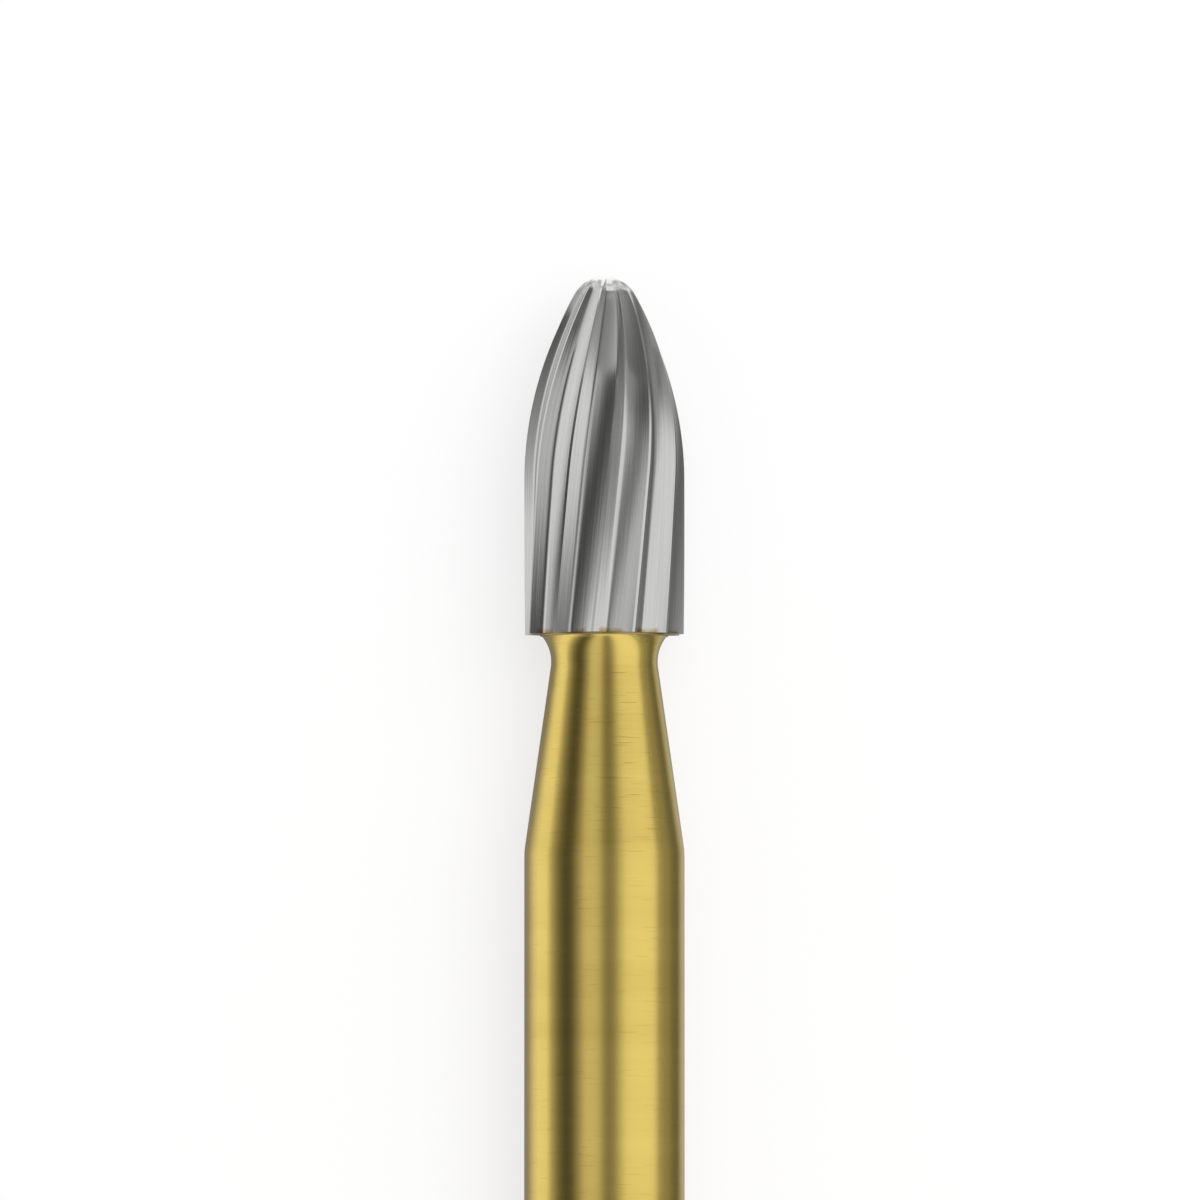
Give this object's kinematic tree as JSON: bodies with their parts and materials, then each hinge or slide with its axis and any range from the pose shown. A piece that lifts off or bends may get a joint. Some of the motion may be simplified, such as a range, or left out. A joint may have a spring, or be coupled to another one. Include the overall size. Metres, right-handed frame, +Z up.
{
  "type": "dental bur",
  "caption": "Friction-grip finishing bur: a pointed-bud head with straight-sided back and helical flutes on a slim round shank with a tapered neck.",
  "frame": {"origin": "on the surface the bur lies on, under the middle of its length and of its width", "axes": "+Y along the axis towards the tip of the head; +Z up, the side that faces the camera in the picture; +X to the right in the picture, where the tip points up"},
  "size_m": [0.0016, 0.019, 0.0016],
  "materials": {
    "cutting_head": "ground sintered tungsten carbide, bright grey with fine grinding marks along the flutes",
    "shank": "turned stainless steel with thin bright gold plating"
  },
  "bodies": {
    "root": {"cutting_head": "cutting_head", "shank": "shank"}
  },
  "joints": []
}
